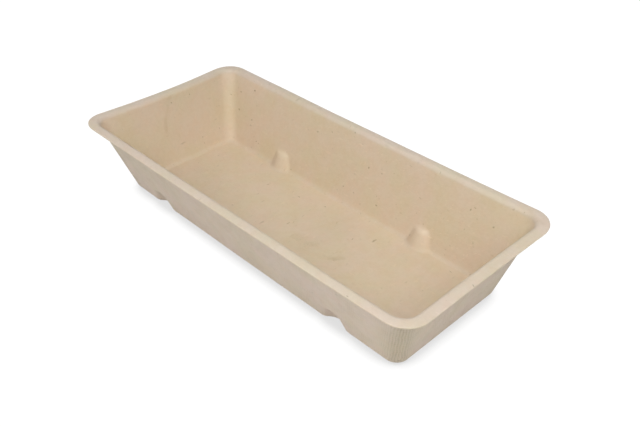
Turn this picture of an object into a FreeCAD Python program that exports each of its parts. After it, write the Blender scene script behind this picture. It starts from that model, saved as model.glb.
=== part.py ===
"""Moulded sugar-cane fibre tray for one sausage, as a parametric FreeCAD document.

The tray is one moulded piece: a flat floor, four leaning walls with rounded corners, a flat
turned-out flange, and four hollow stacking lugs at the foot of the long walls.  The body
"tray" is the outside form, and the body "hollow" is the space inside it, which is cut out.

Frame: millimetres, +Z up, +X along the length, origin on the floor under the tray's centre.
"""
import FreeCAD, Part
import math
import os

import Sketcher
from FreeCAD import Placement, Rotation, Vector

doc = FreeCAD.newDocument("sausage_tray")

# ---------------------------------------------------------------- driving sizes

SIZES = [
    ("rim_length", 220.0, "overall length over the flange"),
    ("rim_width", 99.0, "overall width over the flange"),
    ("height", 39.6, "foot to the top of the flange"),
    ("wall", 0.8, "thickness of the moulded sheet"),
    ("side_flange", 5.1, "width of the flange along the long sides, out to its edge"),
    ("end_flange", 5.6, "width of the flange across the ends"),
    ("draft", 16.1, "lean of every wall from upright, in degrees"),
    ("rim_corner", 12.2, "corner radius of the flange's outer edge"),
    ("mouth_corner", 7.5, "corner radius of the mouth"),
    ("foot_corner", 6.2, "corner radius of the foot, outside"),
    ("foot_round", 3.4, "rounding from the foot and the lugs into the walls, outside"),
    ("mouth_round", 2.6, "rounding from the flange down into the tray, on top"),
    ("lug_radius", 8.8, "radius of a lug's cone at the floor, inside the tray"),
    ("lug_top_radius", 4.8, "radius of that cone at the lug's top"),
    ("lug_rise", 9.6, "height of a lug's top above the foot"),
    ("lug_crown", 2.2, "rounding round a lug's top, inside the tray"),
    ("lug_set_out", 5.2, "lug's axis, out from where the inner wall meets the floor"),
    ("front_left", -64.0, "place of a lug along the front wall"),
    ("front_right", 59.0, "place of a lug along the front wall"),
    ("back_left", -50.0, "place of a lug along the back wall"),
    ("back_right", 48.5, "place of a lug along the back wall"),
]

sheet = doc.addObject("Spreadsheet::Sheet", "sizes")
for row, (alias, value, meaning) in enumerate(SIZES, start=1):
    sheet.set("A%d" % row, meaning)
    sheet.set("B%d" % row, str(value))
    sheet.setAlias("B%d" % row, alias)
doc.recompute()

# Lengths that follow from the driving sizes, written as expressions.
LEAN = "tan(sizes.draft * 1 deg)"
SKIN = "(sizes.wall / cos(sizes.draft * 1 deg))"
LUG_SLOPE = "((sizes.lug_radius - sizes.lug_top_radius) / (sizes.lug_rise - sizes.wall))"
LUG_SKIN = "(sizes.wall * (sqrt(1 + %s ^ 2) - %s))" % (LUG_SLOPE, LUG_SLOPE)
MOUTH_LENGTH = "(sizes.rim_length - 2 * sizes.end_flange)"
MOUTH_WIDTH = "(sizes.rim_width - 2 * sizes.side_flange)"


def inside(mouth_size):
    """Length or width at the floor, inside, of a hollow this long or wide at its mouth."""
    return "(%s - 2 * (sizes.height - sizes.wall) * %s)" % (mouth_size, LEAN)


def outside(mouth_size, drop):
    """Length or width over the walls, outside, so far below the top of the flange."""
    return "(%s + 2 * %s - 2 * %s * %s)" % (mouth_size, SKIN, drop, LEAN)


# ---------------------------------------------------------------- sketches


def origin_plane(body, role):
    for feature in body.Origin.OriginFeatures:
        if feature.Role == role:
            return feature
    raise RuntimeError("no plane " + role)


def rounded_rectangle(body, name, length, width, corner, level):
    """A rounded rectangle about the Z axis, at a level above the foot."""
    sketch = body.newObject("Sketcher::SketchObject", name)
    sketch.AttachmentSupport = [(origin_plane(body, "XY_Plane"), "")]
    sketch.MapMode = "FlatFace"
    sketch.setExpression("AttachmentOffset.Base.z", level)
    # A rough start, which the constraints then size.
    half_x, half_y, radius = 50.0, 30.0, 8.0
    near_x = half_x - radius
    near_y = half_y - radius
    corners = [
        (Vector(-near_x, -half_y, 0), Vector(near_x, -half_y, 0), Vector(near_x, -near_y, 0), -90),
        (Vector(half_x, -near_y, 0), Vector(half_x, near_y, 0), Vector(near_x, near_y, 0), 0),
        (Vector(near_x, half_y, 0), Vector(-near_x, half_y, 0), Vector(-near_x, near_y, 0), 90),
        (Vector(-half_x, near_y, 0), Vector(-half_x, -near_y, 0), Vector(-near_x, -near_y, 0), 180),
    ]
    for start, end, centre, turn in corners:
        sketch.addGeometry(Part.LineSegment(start, end), False)
        circle = Part.Circle(centre, Vector(0, 0, 1), radius)
        first = math.radians(turn)
        sketch.addGeometry(Part.ArcOfCircle(circle, first, first + math.pi / 2), False)
    bottom, right, top, left = 0, 2, 4, 6
    arcs = (1, 3, 5, 7)
    for side in (bottom, right, top, left):
        sketch.addConstraint(Sketcher.Constraint("Tangent", side, 2, side + 1, 1))
        sketch.addConstraint(Sketcher.Constraint("Tangent", side + 1, 2, (side + 2) % 8, 1))
    for side in (bottom, top):
        sketch.addConstraint(Sketcher.Constraint("Horizontal", side))
    for side in (right, left):
        sketch.addConstraint(Sketcher.Constraint("Vertical", side))
    for arc in arcs[1:]:
        sketch.addConstraint(Sketcher.Constraint("Equal", arcs[0], arc))
    sketch.addConstraint(Sketcher.Constraint("Symmetric", bottom, 1, top, 1, -1, 1))
    for constraint, value, expression in (
        (Sketcher.Constraint("DistanceX", left, 1, right, 1, 2 * half_x), "length", length),
        (Sketcher.Constraint("DistanceY", bottom, 1, top, 1, 2 * half_y), "width", width),
        (Sketcher.Constraint("Radius", arcs[0], radius), "corner", corner),
    ):
        index = sketch.addConstraint(constraint)
        sketch.renameConstraint(index, value)
        sketch.setExpression("Constraints." + value, expression)
    return sketch


# ---------------------------------------------------------------- features


def loft(body, kind, name, lower, upper):
    """A straight-walled form between two sketches."""
    feature = body.newObject("PartDesign::" + kind, name)
    feature.Profile = lower
    feature.Sections = [upper]
    feature.Ruled = True
    return feature


def fillet(body, name, base, radius, wanted):
    """Round the edges of the base for which wanted(edge) is true."""
    doc.recompute()
    edges = ["Edge%d" % (i + 1) for i, edge in enumerate(base.Shape.Edges) if wanted(edge)]
    if not edges:
        raise RuntimeError("no edge to round for " + name)
    feature = body.newObject("PartDesign::Fillet", name)
    feature.Base = (base, edges)
    feature.setExpression("Radius", radius)
    return feature


def lies_between(edge, low, high):
    """Whether an edge keeps within two levels, to a hair."""
    box = edge.BoundBox
    hair = 0.01
    return box.ZMin > low - hair and box.ZMax < high + hair


LUGS = [("front_left", -1), ("front_right", -1), ("back_left", 1), ("back_right", 1)]


def lug_axis(side):
    """How far a lug's upright axis stands from the tray's centre line, towards one side."""
    return "%d * (%s / 2 + sizes.lug_set_out)" % (side, inside(MOUTH_WIDTH))


def cut_lug(body, place, side, foot_radius, top_radius, rise, crown):
    """Turn one lug's cone, with its rounded top, out of the body round an upright axis."""
    sketch = body.newObject("Sketcher::SketchObject", "profile_" + place)
    sketch.AttachmentSupport = [(origin_plane(body, "XZ_Plane"), "")]
    sketch.MapMode = "FlatFace"
    sketch.setExpression("AttachmentOffset.Base.x", "sizes." + place)
    sketch.setExpression("AttachmentOffset.Base.z", "-1 * (%s)" % lug_axis(side))
    # A rough start, which the constraints then size.
    foot_x, edge_x, top_y, turn = 8.0, 5.0, 9.0, 2.0
    turn_x = edge_x - turn
    turn_y = top_y - turn
    centre = Vector(0, 0, 0)
    foot = Vector(foot_x, 0, 0)
    top = Vector(0, top_y, 0)
    circle = Part.Circle(Vector(turn_x, turn_y, 0), Vector(0, 0, 1), turn)
    axis = sketch.addGeometry(Part.LineSegment(centre, top), False)
    flat = sketch.addGeometry(Part.LineSegment(top, Vector(turn_x, top_y, 0)), False)
    arc = sketch.addGeometry(Part.ArcOfCircle(circle, 0, math.pi / 2), False)
    slope = sketch.addGeometry(Part.LineSegment(Vector(edge_x, turn_y, 0), foot), False)
    base = sketch.addGeometry(Part.LineSegment(foot, centre), False)
    sharp = sketch.addGeometry(Part.Point(Vector(edge_x, top_y, 0)), True)
    sketch.addConstraint([
        Sketcher.Constraint("Coincident", axis, 1, -1, 1),
        Sketcher.Constraint("Coincident", axis, 2, flat, 1),
        Sketcher.Constraint("Tangent", flat, 2, arc, 2),
        Sketcher.Constraint("Tangent", arc, 1, slope, 1),
        Sketcher.Constraint("Coincident", slope, 2, base, 1),
        Sketcher.Constraint("Coincident", base, 2, axis, 1),
        Sketcher.Constraint("Vertical", axis),
        Sketcher.Constraint("Horizontal", flat),
        Sketcher.Constraint("Horizontal", base),
        Sketcher.Constraint("PointOnObject", sharp, 1, slope),
        Sketcher.Constraint("PointOnObject", sharp, 1, flat),
    ])
    for constraint, value, expression in (
        (Sketcher.Constraint("DistanceX", base, 2, base, 1, foot_x), "foot", foot_radius),
        (Sketcher.Constraint("DistanceX", axis, 2, sharp, 1, edge_x), "top", top_radius),
        (Sketcher.Constraint("DistanceY", axis, 1, axis, 2, top_y), "rise", rise),
        (Sketcher.Constraint("Radius", arc, turn), "crown", crown),
    ):
        index = sketch.addConstraint(constraint)
        sketch.renameConstraint(index, value)
        sketch.setExpression("Constraints." + value, expression)
    groove = body.newObject("PartDesign::Groove", "lug_" + place)
    groove.Profile = sketch
    groove.ReferenceAxis = (sketch, ["V_Axis"])
    groove.Angle = 360
    return groove


def is_foot_edge(edge):
    """An edge in the plane of the foot."""
    return lies_between(edge, 0, 0)


def is_floor_edge(edge):
    """An edge in the plane of the floor, inside."""
    return lies_between(edge, sheet.wall, sheet.wall)


def is_lug_side(edge):
    """An edge where a lug meets the wall: it rises, bends, and ends below the lug's top."""
    rises = edge.BoundBox.ZMax - edge.BoundBox.ZMin > sheet.wall / 2
    return rises and lies_between(edge, 0, sheet.lug_rise) and not isinstance(edge.Curve, Part.Line)


def is_mouth_edge(edge, level):
    """An edge at a level that runs round the walls, clear of the flange's outer edge."""
    box = edge.BoundBox
    clear_x = max(-box.XMin, box.XMax) < sheet.rim_length / 2 - sheet.wall
    clear_y = max(-box.YMin, box.YMax) < sheet.rim_width / 2 - sheet.wall
    return clear_x and clear_y and lies_between(edge, level, level)


# ---------------------------------------------------------------- the hollow inside

hollow = doc.addObject("PartDesign::Body", "hollow")
floor_outline = rounded_rectangle(
    hollow, "floor_outline", inside(MOUTH_LENGTH), inside(MOUTH_WIDTH),
    "sizes.foot_corner - " + SKIN, "sizes.wall")
mouth_outline = rounded_rectangle(
    hollow, "mouth_outline", MOUTH_LENGTH, MOUTH_WIDTH, "sizes.mouth_corner", "sizes.height")
space = loft(hollow, "AdditiveLoft", "space", floor_outline, mouth_outline)
for place, side in LUGS:
    space = cut_lug(
        hollow, place, side, "sizes.lug_radius + sizes.wall * " + LUG_SLOPE,
        "sizes.lug_top_radius", "sizes.lug_rise", "sizes.lug_crown")
space = fillet(
    hollow, "floor_rounding", space, "sizes.foot_round - sizes.wall",
    lambda edge: is_floor_edge(edge) or is_lug_side(edge))

# ---------------------------------------------------------------- the tray

tray = doc.addObject("PartDesign::Body", "tray")
foot_outline = rounded_rectangle(
    tray, "foot_outline", outside(MOUTH_LENGTH, "sizes.height"),
    outside(MOUTH_WIDTH, "sizes.height"), "sizes.foot_corner", "0")
brow_outline = rounded_rectangle(
    tray, "brow_outline", outside(MOUTH_LENGTH, "0"), outside(MOUTH_WIDTH, "0"),
    "sizes.mouth_corner + " + SKIN, "sizes.height")
rim_outline = rounded_rectangle(
    tray, "rim_outline", "sizes.rim_length", "sizes.rim_width", "sizes.rim_corner",
    "sizes.height - sizes.wall")
walls = loft(tray, "AdditiveLoft", "walls", foot_outline, brow_outline)
brim = tray.newObject("PartDesign::Pad", "brim")
brim.Profile = rim_outline
brim.setExpression("Length", "sizes.wall")
form = brim
for place, side in LUGS:
    form = cut_lug(
        tray, place, side, "sizes.lug_radius - " + LUG_SKIN,
        "sizes.lug_top_radius - " + LUG_SKIN, "sizes.lug_rise - sizes.wall",
        "sizes.lug_crown - sizes.wall")
form = fillet(
    tray, "foot_rounding", form, "sizes.foot_round",
    lambda edge: is_foot_edge(edge) or is_lug_side(edge))
form = fillet(
    tray, "under_flange", form, "sizes.mouth_round - sizes.wall",
    lambda edge: is_mouth_edge(edge, sheet.height - sheet.wall))
emptied = tray.newObject("PartDesign::Boolean", "emptied")
emptied.Type = "Cut"
emptied.Group = [hollow]
form = fillet(
    tray, "mouth_rounding", emptied, "sizes.mouth_round",
    lambda edge: is_mouth_edge(edge, sheet.height))
tray.Label = "tray"
tray.Placement = Placement(Vector(0, 0, 0), Rotation())
doc.recompute()

# ---------------------------------------------------------------- checks and files

for item in doc.Objects:
    if "Invalid" in item.State or "Error" in item.State:
        raise RuntimeError(item.Name + " failed: " + ", ".join(item.State))

os.makedirs("parts", exist_ok=True)
for piece in (tray,):
    shape = piece.Shape
    if shape.isNull() or not shape.isValid() or len(shape.Solids) != 1:
        raise RuntimeError(piece.Label + " is not one valid solid")
    shape.exportStep(os.path.join("parts", piece.Label + ".step"))
    print(piece.Label, "volume %.0f mm3" % shape.Volume, "area %.0f mm2" % shape.Area)
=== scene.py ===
"""A sausage tray moulded from sugar-cane fibre, dressed for rendering round its CAD frame.

The CAD tray gives the size and the lugs. The skin of the food side is lofted here through
rounded outlines, pressed onto the CAD lugs, warped as a dried moulding is, and thickened.
"""

import math

import bmesh
import bpy
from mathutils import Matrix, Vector


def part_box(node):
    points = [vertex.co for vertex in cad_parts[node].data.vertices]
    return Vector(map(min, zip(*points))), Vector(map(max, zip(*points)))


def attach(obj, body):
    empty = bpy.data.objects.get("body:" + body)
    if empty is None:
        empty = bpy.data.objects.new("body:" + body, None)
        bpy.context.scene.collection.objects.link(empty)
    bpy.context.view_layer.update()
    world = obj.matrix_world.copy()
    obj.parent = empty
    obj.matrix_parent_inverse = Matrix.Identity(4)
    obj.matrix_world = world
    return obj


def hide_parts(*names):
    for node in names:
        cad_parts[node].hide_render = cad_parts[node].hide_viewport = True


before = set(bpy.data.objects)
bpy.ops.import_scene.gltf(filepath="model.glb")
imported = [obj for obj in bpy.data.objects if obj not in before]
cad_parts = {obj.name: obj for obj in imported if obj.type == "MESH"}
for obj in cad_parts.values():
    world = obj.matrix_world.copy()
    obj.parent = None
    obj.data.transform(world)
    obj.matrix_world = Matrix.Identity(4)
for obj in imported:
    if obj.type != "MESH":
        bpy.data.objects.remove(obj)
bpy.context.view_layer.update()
cad_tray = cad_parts["tray"]
low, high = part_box("tray")

# ---------------------------------------------------------------- sizes, in metres

MM = 0.001
RIM_LENGTH = high.x - low.x
RIM_WIDTH = high.y - low.y
HEIGHT = high.z
WALL = 0.8 * MM
SIDE_FLANGE = 5.1 * MM
END_FLANGE = 5.6 * MM
DRAFT = math.radians(16.1)
RIM_CORNER = 12.2 * MM
MOUTH_CORNER = 7.5 * MM
FOOT_CORNER = 6.2 * MM
FOOT_ROUND = 3.4 * MM
MOUTH_ROUND = 2.6 * MM
FLANGE_DROOP = 0.45 * MM
CUT_EDGE_BEVEL = 0.15 * MM

MOUTH_LENGTH = RIM_LENGTH - 2 * END_FLANGE
MOUTH_WIDTH = RIM_WIDTH - 2 * SIDE_FLANGE
DEPTH = HEIGHT - WALL
LEAN = math.tan(DRAFT)
FLOOR_LENGTH = MOUTH_LENGTH - 2 * DEPTH * LEAN
FLOOR_WIDTH = MOUTH_WIDTH - 2 * DEPTH * LEAN
FLOOR_CORNER = FOOT_CORNER - WALL / math.cos(DRAFT)

# The lugs stand at these places along the front (-1) and the back (1) wall.
LUGS = ((-64 * MM, -1), (59 * MM, -1), (-50 * MM, 1), (48.5 * MM, 1))
# The patch of floor and wall that is pressed for a lug: half its length, how high it reaches up
# the wall, and how far in it reaches over the floor.
LUG_PATCH = (14 * MM, 15 * MM, 7 * MM)

# How finely the skin is divided. A straight edge is cut in two goes, into so many parts each.
CORNER_STEPS = 12
LONG_STEPS = (17, 10)
SHORT_STEPS = (9, 6)
WALL_ROWS = 32
FOOT_STEPS = 8
MOUTH_STEPS = 6
FLANGE_ROWS = 6
FLOOR_BAND_ROWS = 3

# How uneven the pulp is: how wide its swellings are, and how high.
SWELLINGS = ((40 * MM, 0.30 * MM), (9 * MM, 0.06 * MM))

# The warp of the dried moulding, each at its most.
SIDE_SAG = 0.64 * MM
END_SAG = 1.27 * MM
END_BOW = 1.16 * MM
FOOT_DRAW = 2.0 * MM


# ---------------------------------------------------------------- mesh tools


def edit(piece):
    """Opens one piece for editing, with nothing selected in it and nothing else selected."""
    bpy.ops.object.select_all(action="DESELECT")
    piece.select_set(True)
    bpy.context.view_layer.objects.active = piece
    bpy.ops.object.mode_set(mode="EDIT")
    bpy.ops.mesh.select_mode(type="VERT")
    bpy.ops.mesh.select_all(action="DESELECT")


def leave():
    """Closes the piece that is open for editing."""
    bpy.ops.object.mode_set(mode="OBJECT")


def pick_points(piece, wanted):
    """Selects the points that are wanted, and nothing else."""
    bpy.ops.mesh.select_mode(type="VERT")
    mesh = bmesh.from_edit_mesh(piece.data)
    for point in mesh.verts:
        point.select = wanted(point)
    mesh.select_flush_mode()
    bmesh.update_edit_mesh(piece.data)


def pick_edges(piece, wanted):
    """Selects the edges that are wanted, and nothing else."""
    bpy.ops.mesh.select_mode(type="EDGE")
    bpy.ops.mesh.select_all(action="DESELECT")
    mesh = bmesh.from_edit_mesh(piece.data)
    for edge in mesh.edges:
        edge.select = wanted(edge)
    mesh.select_flush_mode()
    bmesh.update_edit_mesh(piece.data)


def finish_with(piece, kind, name, **settings):
    """Adds one modifier and applies it."""
    bpy.ops.object.select_all(action="DESELECT")
    piece.select_set(True)
    bpy.context.view_layer.objects.active = piece
    modifier = piece.modifiers.new(name, kind)
    for setting, value in settings.items():
        setattr(modifier, setting, value)
    bpy.ops.object.modifier_apply(modifier=name)


# ---------------------------------------------------------------- the skin of the food side


def outline(length, width, corner, level):
    """Adds one face with rounded corners to the piece that is open for editing."""
    bpy.ops.mesh.select_mode(type="VERT")
    bpy.ops.mesh.select_all(action="DESELECT")
    bpy.ops.mesh.primitive_plane_add(size=1, location=(0, 0, level))
    bpy.ops.transform.resize(value=(length, width, 1), center_override=(0, 0, level))
    bpy.ops.mesh.bevel(offset=corner, segments=CORNER_STEPS, affect="VERTICES")


def bridge(piece, rows):
    """Joins the skin's open edge to the outline that was added last, by so many rows of faces."""
    bpy.ops.mesh.delete(type="ONLY_FACE")
    pick_edges(piece, lambda edge: edge.is_wire or edge.is_boundary)
    bpy.ops.mesh.bridge_edge_loops(number_cuts=rows - 1, interpolation="LINEAR", smoothness=0)


def wall_corner(rise):
    """The corner radius of the inner wall, so far above the floor."""
    return FLOOR_CORNER + (MOUTH_CORNER - FLOOR_CORNER) * rise / DEPTH


def skin_profile():
    """The skin from the floor out to the flange: length, width, corner, level and rows below."""
    stops = []
    quarter = math.pi / 2 - DRAFT
    inner_round = FOOT_ROUND - WALL
    reach = inner_round * math.tan(quarter / 2)
    for step in range(FOOT_STEPS + 1):
        turn = quarter * step / FOOT_STEPS
        inset = reach - inner_round * math.sin(turn)
        rise = inner_round * (1 - math.cos(turn))
        corner = wall_corner(rise) - inset - rise * LEAN
        stops.append((FLOOR_LENGTH - 2 * inset, FLOOR_WIDTH - 2 * inset, corner, WALL + rise, 1))
    reach = MOUTH_ROUND * math.tan(quarter / 2)
    for step in range(MOUTH_STEPS, -1, -1):
        turn = quarter * step / MOUTH_STEPS
        inset = MOUTH_ROUND * math.sin(turn) - reach
        level = HEIGHT - MOUTH_ROUND * (1 - math.cos(turn))
        corner = MOUTH_CORNER - inset
        rows = WALL_ROWS if step == MOUTH_STEPS else 1
        stops.append((MOUTH_LENGTH - 2 * inset, MOUTH_WIDTH - 2 * inset, corner, level, rows))
    length, width, corner = stops[-1][:3]
    for row in range(1, FLANGE_ROWS + 1):
        share = row / FLANGE_ROWS
        level = HEIGHT - FLANGE_DROOP * share ** 2
        stops.append((
            length + (RIM_LENGTH - length) * share, width + (RIM_WIDTH - width) * share,
            corner + (RIM_CORNER - corner) * share, level, 1))
    return stops


def loft_skin():
    """One sheet with no thickness: floor, walls, mouth and flange, facing away from the food.

    The insets of the floor draw its corners' points together, and those nearer than doubles merge.
    """
    doubles = 0.5 * MM
    bpy.ops.object.select_all(action="DESELECT")
    bpy.ops.mesh.primitive_plane_add(size=1)
    skin = bpy.context.active_object
    skin.name = "tray_shell"
    edit(skin)
    bpy.ops.mesh.select_all(action="SELECT")
    bpy.ops.mesh.delete(type="VERT")
    floor, *rest = skin_profile()
    outline(*floor[:4])
    for _ in range(FLOOR_BAND_ROWS):
        bpy.ops.mesh.inset(thickness=floor[2] / FLOOR_BAND_ROWS)
    bpy.ops.mesh.remove_doubles(threshold=doubles)
    for stop in rest:
        outline(*stop[:4])
        bridge(skin, stop[4])
    divide_straights(skin, 0, LONG_STEPS)
    divide_straights(skin, 1, SHORT_STEPS)
    bpy.ops.mesh.select_all(action="SELECT")
    bpy.ops.mesh.normals_make_consistent(inside=True)
    leave()
    return skin


def divide_straights(skin, axis, steps):
    """Divides the straight edges that run along one axis, in two goes."""
    shortest = 2 * MM
    nearly_all = 0.999

    def is_straight(edge):
        span = edge.verts[0].co - edge.verts[1].co
        return span.length > shortest and abs(span[axis]) > nearly_all * span.length

    for step in steps:
        pick_edges(skin, is_straight)
        bpy.ops.mesh.subdivide(number_cuts=step - 1)


def near_lug(place, side):
    """Whether a place lies in the patch of floor and wall that holds one of this side's lugs."""
    half_length, top, depth = LUG_PATCH
    if place.z > top or place.y * side < FLOOR_WIDTH / 2 - depth:
        return False
    return any(abs(place.x - x) < half_length for x, wall in LUGS if wall == side)


def press_lugs(skin, side):
    """Presses the lugs of one long wall into the skin, by sliding its points onto the CAD form.

    They are first lifted clear of the lugs, up and inwards. They then slide down and outwards at
    45 degrees, so the skin is turned until its own Z axis lies along that line, and it is turned
    back afterwards.
    """
    slant = math.pi / 4
    reach = 9 * MM
    edit(skin)
    pick_points(skin, lambda point: near_lug(point.co, side))
    bpy.ops.mesh.subdivide(number_cuts=1)
    pick_points(skin, lambda point: near_lug(point.co, side))
    bpy.ops.transform.translate(value=(0, -side * reach * math.sin(slant), reach * math.cos(slant)))
    picked = [point.index for point in bmesh.from_edit_mesh(skin.data).verts if point.select]
    leave()
    skin.vertex_groups.new(name="lugs").add(picked, 1.0, "REPLACE")
    skin.rotation_euler.x = -side * slant
    bpy.ops.object.transform_apply(location=False, rotation=True, scale=False)
    skin.rotation_euler.x = side * slant
    finish_with(
        skin, "SHRINKWRAP", "press", target=cad_tray, wrap_method="PROJECT", vertex_group="lugs",
        use_project_z=True, use_positive_direction=False, use_negative_direction=True)
    bpy.ops.object.transform_apply(location=False, rotation=True, scale=False)
    finish_with(skin, "SMOOTH", "soften", factor=0.5, iterations=6, vertex_group="lugs")
    skin.vertex_groups.clear()


def uneven(skin, size, depth):
    """Raises and lowers the skin here and there, as pulp does when it dries."""
    clouds = bpy.data.textures.new("uneven", "CLOUDS")
    clouds.noise_scale = size
    clouds.noise_depth = 1
    finish_with(skin, "DISPLACE", "uneven", texture=clouds, texture_coords="LOCAL",
                strength=depth, mid_level=0.5)


def warp(skin):
    """Lets the flange sag between its corners, and draws the ends and the front foot in a little.

    It moves the points of a cage round the tray. The flange hangs on the upper points that lie
    past these shares of the half width and the half length, and the front foot on the lower ones.
    """
    side_rows, end_rows = 0.5, 0.75
    bpy.ops.object.add(type="LATTICE", location=(0, 0, HEIGHT / 2))
    cage = bpy.context.active_object
    cage.scale = (RIM_LENGTH, RIM_WIDTH, HEIGHT)
    cage.data.points_u, cage.data.points_v, cage.data.points_w = 9, 9, 2
    cage.data.interpolation_type_u = cage.data.interpolation_type_v = "KEY_CATMULL_ROM"
    cage.data.interpolation_type_w = "KEY_LINEAR"
    for point in cage.data.points:
        along, across, up = point.co * 2
        if up > 0 and abs(across) >= side_rows:
            point.co_deform.z -= SIDE_SAG * (1 - along ** 2) / HEIGHT
        if up < 0 and across < 0:
            point.co_deform.y -= FOOT_DRAW * ((1 - along) / 2) ** 2 * across / RIM_WIDTH
        if up > 0 and abs(along) >= end_rows:
            point.co_deform.z -= END_SAG * (1 - across ** 2) / HEIGHT
            point.co_deform.x -= along * END_BOW * (1 - across ** 2) / RIM_LENGTH
    finish_with(skin, "LATTICE", "warp", object=cage)
    bpy.data.objects.remove(cage)


def thicken(skin):
    """Gives the skin its thickness, outwards, and softens the cut edge of the flange."""
    finish_with(skin, "SOLIDIFY", "wall", thickness=WALL, offset=1.0, use_even_offset=True,
                material_offset=1, material_offset_rim=2)
    finish_with(skin, "BEVEL", "cut_edge", width=CUT_EDGE_BEVEL, segments=2, limit_method="ANGLE",
                angle_limit=math.radians(60))


def set_down(skin):
    """Lifts or lowers the tray until its lowest point is on the floor."""
    lowest = min(point.co.z for point in skin.data.vertices)
    edit(skin)
    bpy.ops.mesh.select_all(action="SELECT")
    bpy.ops.transform.translate(value=(0, 0, -lowest))
    leave()


def round_the_walls(x, y, level):
    """A place's way round the walls from the middle of its corner, and how far it is from the
    upright plane that halves the corner."""
    inset = (HEIGHT - level) * LEAN
    corner = FOOT_CORNER + (MOUTH_CORNER - FOOT_CORNER) * level / HEIGHT
    past_x = abs(x) - (MOUTH_LENGTH / 2 - inset - corner)
    past_y = abs(y) - (MOUTH_WIDTH / 2 - inset - corner)
    off_middle = abs(past_x - past_y) / math.sqrt(2)
    if past_x < 0:
        return past_x - corner * math.pi / 4, off_middle
    if past_y < 0:
        return corner * math.pi / 4 - past_y, off_middle
    return corner * (math.atan2(past_x, past_y) - math.pi / 4), off_middle


def mark_around(skin):
    """Stores each point's way round the walls and how far it is from the middle of a corner, for
    the ribs that the mould's mesh leaves."""
    places = [round_the_walls(*point.co) for point in skin.data.vertices]
    way = skin.data.attributes.new("around", "FLOAT", "POINT")
    way.data.foreach_set("value", [place[0] for place in places])
    off_corner = skin.data.attributes.new("off_corner", "FLOAT", "POINT")
    off_corner.data.foreach_set("value", [place[1] for place in places])


# ---------------------------------------------------------------- shader tools


def node(tree, kind, inputs=None, **settings):
    """Adds a node. An input is a value, or the output that feeds it."""
    made = tree.nodes.new(kind)
    for name, value in settings.items():
        setattr(made, name, value)
    for name, value in (inputs or {}).items():
        if isinstance(value, bpy.types.NodeSocket):
            tree.links.new(value, made.inputs[name])
        else:
            made.inputs[name].default_value = value
    return made


def maths(tree, operation, one, other=0.0):
    """One sum on two values."""
    return node(tree, "ShaderNodeMath", {0: one, 1: other}, operation=operation).outputs[0]


def product(tree, one, other):
    """Two values multiplied."""
    return maths(tree, "MULTIPLY", one, other)


def noise(tree, place, scale, detail=2.0, roughness=0.5, distortion=0.0):
    """Clouds from 0 to 1, with so many cells a metre."""
    inputs = {"Vector": place, "Scale": scale, "Detail": detail, "Roughness": roughness,
              "Distortion": distortion}
    return node(tree, "ShaderNodeTexNoise", inputs).outputs["Fac"]


def ramp(tree, value, low_end, high_end, low_value=0.0, high_value=1.0):
    """Maps a range of a value smoothly onto another range."""
    inputs = {"Value": value, "From Min": low_end, "From Max": high_end, "To Min": low_value,
              "To Max": high_value}
    return node(tree, "ShaderNodeMapRange", inputs, interpolation_type="SMOOTHSTEP").outputs["Result"]


def tint(tree, amount, colour, tone):
    """Multiplies a colour by a tone, wholly where the amount is 1."""
    inputs = {0: amount, 6: colour, 7: (*tone, 1)}
    return node(tree, "ShaderNodeMix", inputs, data_type="RGBA", blend_type="MULTIPLY").outputs[2]


def level_of(tree, place):
    """A place's height above the foot."""
    return node(tree, "ShaderNodeSeparateXYZ", {0: place}).outputs["Z"]


def new_group(name, inputs, outputs):
    """An empty node group with these sockets: its tree, its input node and its output node."""
    tree = bpy.data.node_groups.new(name, "ShaderNodeTree")
    for label, kind in inputs:
        tree.interface.new_socket(label, in_out="INPUT", socket_type=kind)
    for label, kind in outputs:
        tree.interface.new_socket(label, in_out="OUTPUT", socket_type=kind)
    return tree, tree.nodes.new("NodeGroupInput"), tree.nodes.new("NodeGroupOutput")


# ---------------------------------------------------------------- the fibre

# Clouding, from broad to fine: cells a metre, roughness, where it starts, where it is whole, tone.
CLOUDING = (
    (65.0, 0.5, 0.32, 0.68, (0.965, 1.0, 0.925)),
    (210.0, 0.6, 0.38, 0.66, (1.0, 0.968, 0.945)),
    (620.0, 0.6, 0.35, 0.70, (0.968, 0.970, 0.962)))
SMUDGE_TONE = (0.86, 0.83, 0.78)
SMUDGE_STRENGTH = 0.5

# Layers of strokes: how each is turned, how it is stretched, its cells a metre, and the share of
# cells that hold a stroke.
PALE_FIBRES = (
    ((0.4, 0.9, 0.3), (1.0, 0.18, 0.5), 760.0, 0.4),
    ((1.3, 0.2, 1.9), (0.2, 1.0, 0.6), 760.0, 0.4),
    ((2.2, 1.1, 0.8), (0.6, 0.25, 1.0), 760.0, 0.4))
DARK_FLECKS = (
    ((0.2, 0.5, 1.1), (1.0, 0.24, 0.6), 600.0, 0.09),
    ((1.0, 1.7, 0.4), (0.28, 1.0, 0.5), 820.0, 0.11),
    ((2.0, 0.3, 2.4), (0.7, 0.24, 1.0), 420.0, 0.07))
PALE_TONE = (1.14, 1.13, 1.11)
PALE_STRENGTH = 0.3
DARK_TONE = (0.46, 0.43, 0.37)

# The lumps of the felt, from fine to broad: cells a metre, detail, roughness, share of the relief.
LUMPS = (
    (1500.0, 2.0, 0.5, 0.12),
    (480.0, 3.0, 0.55, 0.45),
    (150.0, 3.0, 0.55, 0.9))
FIBRE_SHARE = 0.2
FLECK_SHARE = 0.25
CRINKLE_SHARE = 0.45

# Tones by level on the food side, both painted: the fold at the foot of the walls is painted darker,
# as shade against the bright line the lamps put there, and the flange is painted greyer and cooler,
# as the white light its open top catches. For each: the levels between which it comes in, then those
# between which it fades, and the tone.
# Painted shade in the fold at the foot of the walls.
FOLD_SHADE = ((0.85 * MM, 1.15 * MM, 1.3 * MM, 3.0 * MM), (0.925, 0.925, 0.925))
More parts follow.
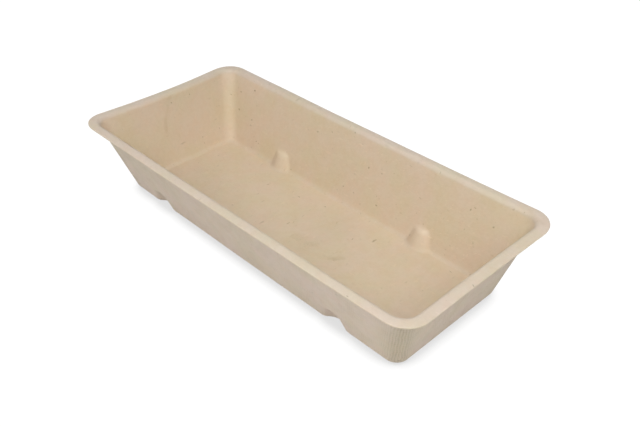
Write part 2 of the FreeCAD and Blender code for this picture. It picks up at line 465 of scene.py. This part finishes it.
# Painted light on the flange: its top is toned greyer and cooler, for the white light it catches.
FLANGE_LIGHT_TONE = ((36.6 * MM, 38.6 * MM), (0.94, 0.98, 1.07))
# Painted shade in the grooves of the mould's mesh marks.
RIB_SHADE_TONE = (0.76, 0.76, 0.70)
RIB_PITCH = 1.05 * MM
BAR_PITCH = 1.6 * RIB_PITCH


def turned(tree, place, turn, stretch):
    """A place turned and stretched, so that round cells come out as slanting strokes."""
    inputs = {"Vector": place, "Rotation": turn, "Scale": stretch}
    return node(tree, "ShaderNodeMapping", inputs).outputs["Vector"]


def strokes(tree, place, scale, share, size, softness):
    """Scattered strokes: a share of the cells hold one, each with a size and strength of its own."""
    least_size, least_strength = 0.35, 0.2
    cells = node(tree, "ShaderNodeTexVoronoi", {"Vector": place, "Scale": scale, "Randomness": 1.0})
    chance = node(tree, "ShaderNodeSeparateColor", {0: cells.outputs["Color"]})
    there = maths(tree, "LESS_THAN", chance.outputs[0], share)
    own_size = product(tree, maths(tree, "ADD", chance.outputs[1], least_size), size)
    far = maths(tree, "SUBTRACT", cells.outputs["Distance"], own_size)
    stroke = ramp(tree, far, 0.0, softness, 1.0, 0.0)
    strength = maths(tree, "ADD", maths(tree, "POWER", chance.outputs[2], 3.0), least_strength)
    return product(tree, product(tree, stroke, there), strength)


def stroke_layers(tree, place, layers, size, softness):
    """Some layers of strokes, the strongest at each place."""
    strongest = None
    for turn, stretch, scale, share in layers:
        layer = strokes(tree, turned(tree, place, turn, stretch), scale, share, size, softness)
        strongest = layer if strongest is None else maths(tree, "MAXIMUM", strongest, layer)
    return strongest


def fibre_colour():
    """Unbleached cane fibre: clouded beige with dark flecks, pale fibres and faint smudges."""
    tree, given, result = new_group(
        "fibre_colour",
        [("Place", "NodeSocketVector"), ("Base", "NodeSocketColor"), ("Flecks", "NodeSocketFloat")],
        [("Colour", "NodeSocketColor"), ("Fleck", "NodeSocketFloat"), ("Fibre", "NodeSocketFloat")])
    place = given.outputs["Place"]
    bend = 1.2 * MM
    wander = node(tree, "ShaderNodeTexNoise", {"Vector": place, "Scale": 700.0, "Detail": 1.0})
    shift = node(tree, "ShaderNodeVectorMath", {0: wander.outputs["Color"], 1: (bend, bend, bend)},
                 operation="MULTIPLY").outputs[0]
    bent = node(tree, "ShaderNodeVectorMath", {0: place, 1: shift}, operation="ADD").outputs[0]

    colour = given.outputs["Base"]
    for scale, roughness, start, whole, tone in CLOUDING:
        cloud = ramp(tree, noise(tree, place, scale, 3.0, roughness), start, whole)
        colour = tint(tree, cloud, colour, tone)
    smudge = ramp(tree, noise(tree, place, scale=55.0, distortion=0.6), 0.69, 0.78)
    colour = tint(tree, product(tree, smudge, SMUDGE_STRENGTH), colour, SMUDGE_TONE)
    pale = stroke_layers(tree, bent, PALE_FIBRES, size=0.20, softness=0.14)
    colour = tint(tree, product(tree, pale, PALE_STRENGTH), colour, PALE_TONE)
    dark = stroke_layers(tree, bent, DARK_FLECKS, size=0.11, softness=0.12)
    colour = tint(tree, product(tree, dark, given.outputs["Flecks"]), colour, DARK_TONE)

    tree.links.new(colour, result.inputs["Colour"])
    tree.links.new(dark, result.inputs["Fleck"])
    tree.links.new(pale, result.inputs["Fibre"])
    return tree


def fibre_grain():
    """The height of the felted surface: lumps, fibres, and patches where the felt is crinkled."""
    tree, given, result = new_group(
        "fibre_grain",
        [("Place", "NodeSocketVector"), ("Fibre", "NodeSocketFloat"), ("Fleck", "NodeSocketFloat"),
         ("Crinkle", "NodeSocketFloat")],
        [("Height", "NodeSocketFloat")])
    place = given.outputs["Place"]
    parts = [product(tree, noise(tree, place, *cloud), share) for *cloud, share in LUMPS]
    parts.append(product(tree, given.outputs["Fibre"], FIBRE_SHARE))
    parts.append(product(tree, given.outputs["Fleck"], FLECK_SHARE))
    threads = noise(tree, place, scale=620.0, detail=1.0, distortion=1.2)
    off_thread = maths(tree, "ABSOLUTE", maths(tree, "SUBTRACT", threads, 0.5))
    ridge = ramp(tree, off_thread, 0.0, 0.08, CRINKLE_SHARE, 0.0)
    spread = maths(tree, "ADD", noise(tree, place, 120.0, 2.0, 0.6), given.outputs["Crinkle"])
    parts.append(product(tree, ridge, ramp(tree, spread, 0.66, 0.80)))
    height = parts[0]
    for part in parts[1:]:
        height = maths(tree, "ADD", height, part)
    tree.links.new(height, result.inputs["Height"])
    return tree


COLOUR = fibre_colour()
GRAIN = fibre_grain()


def level_tone(tree, place, colour, levels, tone):
    """Tones a colour between levels: it starts at the first, is whole at the second, and fades
    between the third and the fourth if they are given."""
    level = level_of(tree, place)
    amount = ramp(tree, level, levels[0], levels[1])
    if len(levels) > 2:
        amount = product(tree, amount, ramp(tree, level, levels[2], levels[3], 1.0, 0.0))
    return tint(tree, amount, colour, tone)


def floor_middle(tree, place):
    """Extra crinkling along the middle of the floor, where the sheet is drawn least."""
    across = node(tree, "ShaderNodeSeparateXYZ", {0: place}).outputs["Y"]
    strip = ramp(tree, maths(tree, "ABSOLUTE", across), 5 * MM, 17 * MM, 0.12, 0.0)
    return product(tree, strip, ramp(tree, level_of(tree, place), 1.2 * MM, 2.2 * MM, 1.0, 0.0))


def mesh_marks(tree, place):
    """The marks of the mould's wire mesh: their height, and how much painted shade falls in their
    grooves.

    They are fine ribs up the walls, crossed by fainter bars. They are most worn in at the corners,
    patchy on the walls, weaker under the flange, and the underside has none. The painted shade in
    their grooves follows them, so the corners come out darker.
    """
    way = node(tree, "ShaderNodeAttribute", attribute_name="around").outputs["Fac"]
    off_corner = node(tree, "ShaderNodeAttribute", attribute_name="off_corner").outputs["Fac"]
    level = level_of(tree, place)
    wander = product(tree, noise(tree, place, 220.0, 2.0), 1.2 * MM)
    rib = maths(tree, "SINE", product(tree, maths(tree, "ADD", way, wander), 2 * math.pi / RIB_PITCH))
    bar = maths(tree, "SINE", product(tree, level, 2 * math.pi / BAR_PITCH))
    marks = maths(tree, "ADD", product(tree, rib, 0.75), product(tree, bar, 0.25))
    frayed = maths(tree, "ADD", off_corner, product(tree, noise(tree, place, 260.0, 3.0), 9 * MM))
    near_corner = ramp(tree, frayed, 4.5 * MM, 16.0 * MM, 1.0, 0.0)
    patchy = ramp(tree, noise(tree, place, 160.0, 3.0, 0.6), 0.42, 0.66, 0.05, 0.35)
    under_flange = ramp(tree, level, 31 * MM, 37 * MM, 1.0, 0.3)
    above_foot = ramp(tree, level, 0.4 * MM, 1.2 * MM)
    # How strongly the marks stand, and with them how deep the painted shade in their grooves is.
    worn = product(tree, maths(tree, "MAXIMUM", near_corner, patchy), under_flange)
    worn = product(tree, worn, above_foot)
    # Painted shade, deepest in the dips between the ribs.
    rib_dip_shade = ramp(tree, marks, -0.6, 0.5, 1.0, 0.45)
    return product(tree, marks, worn), product(tree, worn, rib_dip_shade)


def fibre_material(name, base, flecks, relief, roughness, tones=(), ribs=0.0, crinkled_floor=False):
    """One side of the sheet, or its cut edge.

    Flecks say how dark the flecks are, relief how deep the felt is, and ribs how high the marks
    of the mould's mesh stand in that relief.
    """
    material = bpy.data.materials.new(name)
    material.use_nodes = True
    tree = material.node_tree
    shader = tree.nodes["Principled BSDF"]
    place = node(tree, "ShaderNodeTexCoord").outputs["Object"]
    fibre = node(tree, "ShaderNodeGroup", node_tree=COLOUR)
    tree.links.new(place, fibre.inputs["Place"])
    fibre.inputs["Base"].default_value = (*base, 1)
    fibre.inputs["Flecks"].default_value = flecks
    colour = fibre.outputs["Colour"]
    for levels, tone in tones:
        colour = level_tone(tree, place, colour, levels, tone)
    grain = node(tree, "ShaderNodeGroup", node_tree=GRAIN)
    tree.links.new(place, grain.inputs["Place"])
    tree.links.new(fibre.outputs["Fibre"], grain.inputs["Fibre"])
    tree.links.new(fibre.outputs["Fleck"], grain.inputs["Fleck"])
    if crinkled_floor:
        tree.links.new(floor_middle(tree, place), grain.inputs["Crinkle"])
    height = grain.outputs["Height"]
    if ribs:
        marks, painted_rib_shade = mesh_marks(tree, place)
        # Painted shade in the grooves of the mesh marks, darkest at the corners.
        colour = tint(tree, painted_rib_shade, colour, RIB_SHADE_TONE)
        height = maths(tree, "ADD", height, product(tree, marks, ribs))
    tree.links.new(colour, shader.inputs["Base Color"])
    bump = node(tree, "ShaderNodeBump", {"Height": height, "Strength": 1.0, "Distance": relief})
    tree.links.new(bump.outputs["Normal"], shader.inputs["Normal"])
    shader.inputs["Roughness"].default_value = roughness
    return material


# ---------------------------------------------------------------- the tray

skin = loft_skin()
for wall_side in (-1, 1):
    press_lugs(skin, wall_side)
for swelling in SWELLINGS:
    uneven(skin, *swelling)
warp(skin)
# The mould side carries painted shade in the grooves of its mesh marks.
skin.data.materials.append(fibre_material(
    "mould_side", (0.535, 0.444, 0.372), flecks=0.5, relief=0.22 * MM, roughness=0.70, ribs=0.4))
# The food side carries the painted shade in the fold and the painted light on the flange.
skin.data.materials.append(fibre_material(
    "food_side", (0.60, 0.482, 0.362), flecks=0.7, relief=0.22 * MM, roughness=0.62,
    tones=(FOLD_SHADE, FLANGE_LIGHT_TONE), crinkled_floor=True))
skin.data.materials.append(fibre_material(
    "cut_edge", (0.60, 0.51, 0.40), flecks=0.3, relief=0.30 * MM, roughness=0.75))
thicken(skin)
set_down(skin)
mark_around(skin)
bpy.ops.object.shade_smooth_by_angle(angle=math.radians(40))
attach(skin, "root")
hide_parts("tray")

# ---------------------------------------------------------------- floor, light and camera

FLOOR_SIZE = 6
PAPER = (0.92, 0.92, 0.92, 1)
# The floor's shade where the tray stands: how near the tray closes it in, how sharply the shade
# falls off, how deep it is, and the darkest it gets. The last is how much it takes of the lamps.
SHADE_REACH = 12 * MM
SHADE_FALL = 3.3
SHADE_DEPTH = 1.47
DARKEST = 0.70
TAKES_LIGHT = (0.06, 0.06, 0.06, 1)
SURROUND = 0.05

# Each lamp: name, azimuth and elevation in degrees, distance and size in metres, power in watts.
LAMPS = (
    ("key", 45, 58, 0.6, 0.5, 1.92),
    ("key_left", 5, 45, 0.6, 0.5, 0.95),
    ("key_right", 80, 45, 0.6, 0.5, 1.40),
    ("fill_left", -30, 25, 1.2, 1.2, 4.15),
    ("fill_right", 120, 25, 1.2, 1.2, 1.30),
    ("fill_back", 225, 35, 1.2, 1.2, 3.1))


def seen_directly(tree):
    """1 for a ray from the camera, or from it by way of gloss or glass."""
    path = node(tree, "ShaderNodeLightPath").outputs
    seen = maths(tree, "MAXIMUM", path["Is Camera Ray"], path["Is Glossy Ray"])
    return maths(tree, "MAXIMUM", seen, path["Is Transmission Ray"])


def paper_floor():
    """A white floor that runs on into a white background and darkens where the tray stands.

    Seen directly it glows plain white, less where the tray closes it in, and it takes a little
    of the lamps' light and shadow. For every other ray it is plain white paper.
    """
    bpy.ops.object.select_all(action="DESELECT")
    bpy.ops.mesh.primitive_plane_add(size=FLOOR_SIZE)
    floor = bpy.context.active_object
    floor.name = "floor"
    material = bpy.data.materials.new("floor_white")
    material.use_nodes = True
    tree = material.node_tree
    tree.nodes.remove(tree.nodes["Principled BSDF"])
    plain = node(tree, "ShaderNodeBsdfDiffuse", {"Color": PAPER})
    room = node(tree, "ShaderNodeAmbientOcclusion", {"Distance": SHADE_REACH}, samples=24)
    closed = maths(tree, "SUBTRACT", 1.0, room.outputs["AO"])
    shade = product(tree, maths(tree, "POWER", closed, SHADE_FALL), SHADE_DEPTH)
    glow = maths(tree, "MAXIMUM", maths(tree, "SUBTRACT", 1.0, shade), DARKEST)
    lit = node(tree, "ShaderNodeEmission", {"Color": (1, 1, 1, 1), "Strength": glow})
    shaded = node(tree, "ShaderNodeBsdfDiffuse", {"Color": TAKES_LIGHT})
    both = node(tree, "ShaderNodeAddShader", {0: shaded.outputs[0], 1: lit.outputs[0]})
    mixed = node(tree, "ShaderNodeMixShader", {
        0: seen_directly(tree), 1: plain.outputs[0], 2: both.outputs[0]})
    tree.links.new(mixed.outputs[0], tree.nodes["Material Output"].inputs["Surface"])
    floor.data.materials.append(material)


def white_world(strength):
    """An even white surround: this strong as light, and plain white where it is seen."""
    world = bpy.data.worlds.new("surround")
    bpy.context.scene.world = world
    world.use_nodes = True
    tree = world.node_tree
    level = node(tree, "ShaderNodeMapRange", {
        "Value": seen_directly(tree), "To Min": strength, "To Max": 1.0})
    tree.links.new(level.outputs["Result"], tree.nodes["Background"].inputs["Strength"])
    tree.nodes["Background"].inputs["Color"].default_value = (1, 1, 1, 1)


def way_back(azimuth, elevation):
    """The direction from the tray to a viewer: azimuth 0 stands at -Y, and 90 at +X."""
    turn, rise = math.radians(azimuth), math.radians(elevation)
    return Vector((math.sin(turn) * math.cos(rise), -math.cos(turn) * math.cos(rise), math.sin(rise)))


def softbox(name, azimuth, elevation, distance, size, power):
    """A square lamp that looks at the tray from a direction given as the camera's is."""
    lamp = bpy.data.lights.new(name, "AREA")
    lamp.shape = "SQUARE"
    lamp.size = size
    lamp.energy = power
    holder = bpy.data.objects.new(name, lamp)
    bpy.context.scene.collection.objects.link(holder)
    back = way_back(azimuth, elevation)
    holder.location = back * distance
    holder.rotation_euler = back.to_track_quat("Z", "Y").to_euler()


def camera():
    """Looks down at the tray from beyond its front right corner."""
    azimuth, elevation, distance = 45.54, 35.54, 0.4039
    aim = Vector((-4.4 * MM, 19.3 * MM, 0))
    lens = bpy.data.cameras.new("camera")
    lens.sensor_width = 36
    lens.lens = 44.46
    lens.clip_start = 0.01
    holder = bpy.data.objects.new("camera", lens)
    bpy.context.scene.collection.objects.link(holder)
    back = way_back(azimuth, elevation)
    holder.location = aim + back * distance
    holder.rotation_euler = back.to_track_quat("Z", "Y").to_euler()
    bpy.context.scene.camera = holder


paper_floor()
white_world(SURROUND)
for lamp_settings in LAMPS:
    softbox(*lamp_settings)
camera()
bpy.context.scene.view_settings.view_transform = "Standard"
